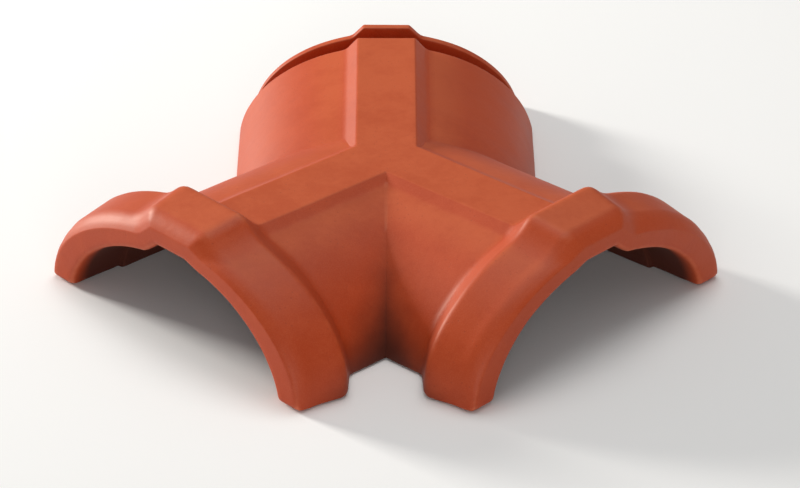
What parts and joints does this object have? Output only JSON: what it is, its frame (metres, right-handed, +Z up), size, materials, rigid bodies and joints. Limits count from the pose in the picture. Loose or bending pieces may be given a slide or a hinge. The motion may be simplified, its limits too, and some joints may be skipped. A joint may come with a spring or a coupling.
{
  "type": "three-way ridge tile",
  "caption": "Hollow clay ridge tile with three arched arms meeting at a level junction; a recessed spigot on one arm and socketed raised collars on the other two.",
  "frame": {"origin": "on the base plane, at the middle of the tile's length and width", "axes": "+Z up, +Y out along the ridge arm towards its spigot, the two hip arms forward towards -Y"},
  "size_m": [0.5364, 0.5292, 0.1105],
  "materials": {
    "fired_clay": "matt fired clay with a smooth orange-red slip"
  },
  "bodies": {
    "root": {"ridge_tile": "fired_clay"}
  },
  "joints": []
}
